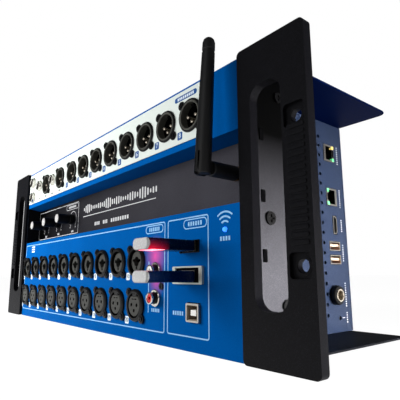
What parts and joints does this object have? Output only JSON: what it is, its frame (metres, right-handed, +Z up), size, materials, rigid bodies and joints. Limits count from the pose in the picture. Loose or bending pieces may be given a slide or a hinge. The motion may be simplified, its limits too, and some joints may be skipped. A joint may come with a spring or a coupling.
{
  "type": "rack-mount wireless audio mixer",
  "caption": "Rack-mount stage-box audio mixer with round input and output sockets, level knobs, a hinged wireless antenna, USB drives and side network ports.",
  "frame": {"origin": "bottom centre of the bounding box, on the surface that the unit stands on", "axes": "+X to the right seen from the front, +Y to the back, +Z up"},
  "size_m": [0.4826, 0.1914, 0.1938],
  "materials": {
    "blue_paint": "fine textured powder coat",
    "side_paint": "fine textured powder coat",
    "black_paint": "fine textured powder coat",
    "black_plastic": "matt moulded",
    "grey_panel": "satin",
    "label_print": "satin printed film",
    "steel": "plated",
    "gold": "gold plated",
    "red_plastic": "moulded",
    "navy_plastic": "moulded",
    "circuit_board": "solder mask",
    "led_lens": "clear tinted"
  },
  "bodies": {
    "chassis": {"bottom_cover": "blue_paint", "combo_input_1": "black_plastic", "combo_input_10": "black_plastic", "combo_input_2": "black_plastic", "combo_input_3": "black_plastic", "combo_input_4": "black_plastic", "combo_input_5": "black_plastic", "combo_input_6": "black_plastic", "combo_input_7": "black_plastic", "combo_input_8": "black_plastic", "combo_input_9": "black_plastic", "control_board": "circuit_board", "front_panel": "blue_paint", "input_board": "circuit_board", "label_strip": "label_print", "output_jack_module": "black_plastic", "output_xlr_1": "black_plastic", "output_xlr_10": "black_plastic", "output_xlr_2": "black_plastic", "output_xlr_3": "black_plastic", "output_xlr_4": "black_plastic", "output_xlr_5": "black_plastic", "output_xlr_6": "black_plastic", "output_xlr_7": "black_plastic", "output_xlr_8": "black_plastic", "output_xlr_9": "black_plastic", "power_inlet": "black_plastic", "power_supply": "steel", "rack_ear_left": "black_paint", "rack_ear_right": "black_paint", "rca_module": "red_plastic", "rear_panel": "side_paint", "recess_fascia": "grey_panel", "side_panel_left": "side_paint", "side_panel_right": "side_paint", "side_port_module": "steel", "sma_jack": "gold", "status_led": "led_lens", "top_cover": "blue_paint", "usb_b_socket": "steel", "usb_media_sockets": "steel", "xlr_input_1": "black_plastic", "xlr_input_10": "black_plastic", "xlr_input_2": "black_plastic", "xlr_input_3": "black_plastic", "xlr_input_4": "black_plastic", "xlr_input_5": "black_plastic", "xlr_input_6": "black_plastic", "xlr_input_7": "black_plastic", "xlr_input_8": "black_plastic", "xlr_input_9": "black_plastic"},
    "level_knob_1": {"level_knob_1": "black_plastic"},
    "level_knob_2": {"level_knob_2": "black_plastic"},
    "level_knob_3": {"level_knob_3": "black_plastic"},
    "antenna_base": {"antenna_base": "black_plastic"},
    "antenna_rod": {"antenna_rod": "black_plastic"},
    "usb_drive_lower": {"usb_drive_lower": "navy_plastic"},
    "usb_drive_upper": {"usb_drive_upper": "navy_plastic"},
    "power_rocker": {"power_rocker": "black_plastic"},
    "reset_button": {"reset_button": "black_plastic"}
  },
  "joints": [
    {"name": "knob_1_turn", "type": "hinge", "parent": "chassis", "child": "level_knob_1", "pos_m": [-0.1615, -0.0546, 0.1077], "axis": [0, -1, 0], "range_deg": [-150, 150]},
    {"name": "knob_2_turn", "type": "hinge", "parent": "chassis", "child": "level_knob_2", "pos_m": [-0.1215, -0.0546, 0.1077], "axis": [0, -1, 0], "range_deg": [-150, 150]},
    {"name": "knob_3_turn", "type": "hinge", "parent": "chassis", "child": "level_knob_3", "pos_m": [-0.081, -0.0546, 0.1077], "axis": [0, -1, 0], "range_deg": [-150, 150]},
    {"name": "antenna_swivel", "type": "hinge", "parent": "chassis", "child": "antenna_base", "pos_m": [0.1753, -0.0576, 0.109], "axis": [0, -1, 0], "range_deg": [-90, 90]},
    {"name": "antenna_tilt", "type": "hinge", "parent": "antenna_base", "child": "antenna_rod", "pos_m": [0.1753, -0.0736, 0.109], "axis": [1, 0, 0], "range_deg": [0, 94]},
    {"name": "usb_drive_lower_pull", "type": "slide", "parent": "chassis", "child": "usb_drive_lower", "axis": [0, -1, 0], "range_m": [0, 0.0135]},
    {"name": "usb_drive_upper_pull", "type": "slide", "parent": "chassis", "child": "usb_drive_upper", "axis": [0, -1, 0], "range_m": [0, 0.0135]},
    {"name": "power_switch", "type": "hinge", "parent": "chassis", "child": "power_rocker", "pos_m": [-0.1646, 0.0564, 0.062], "axis": [0, 1, 0], "range_deg": [-16, 0]},
    {"name": "reset_press", "type": "slide", "parent": "chassis", "child": "reset_button", "axis": [-1, 0, 0], "range_m": [0, 0.0015], "stiffness_N_per_m": 200}
  ]
}
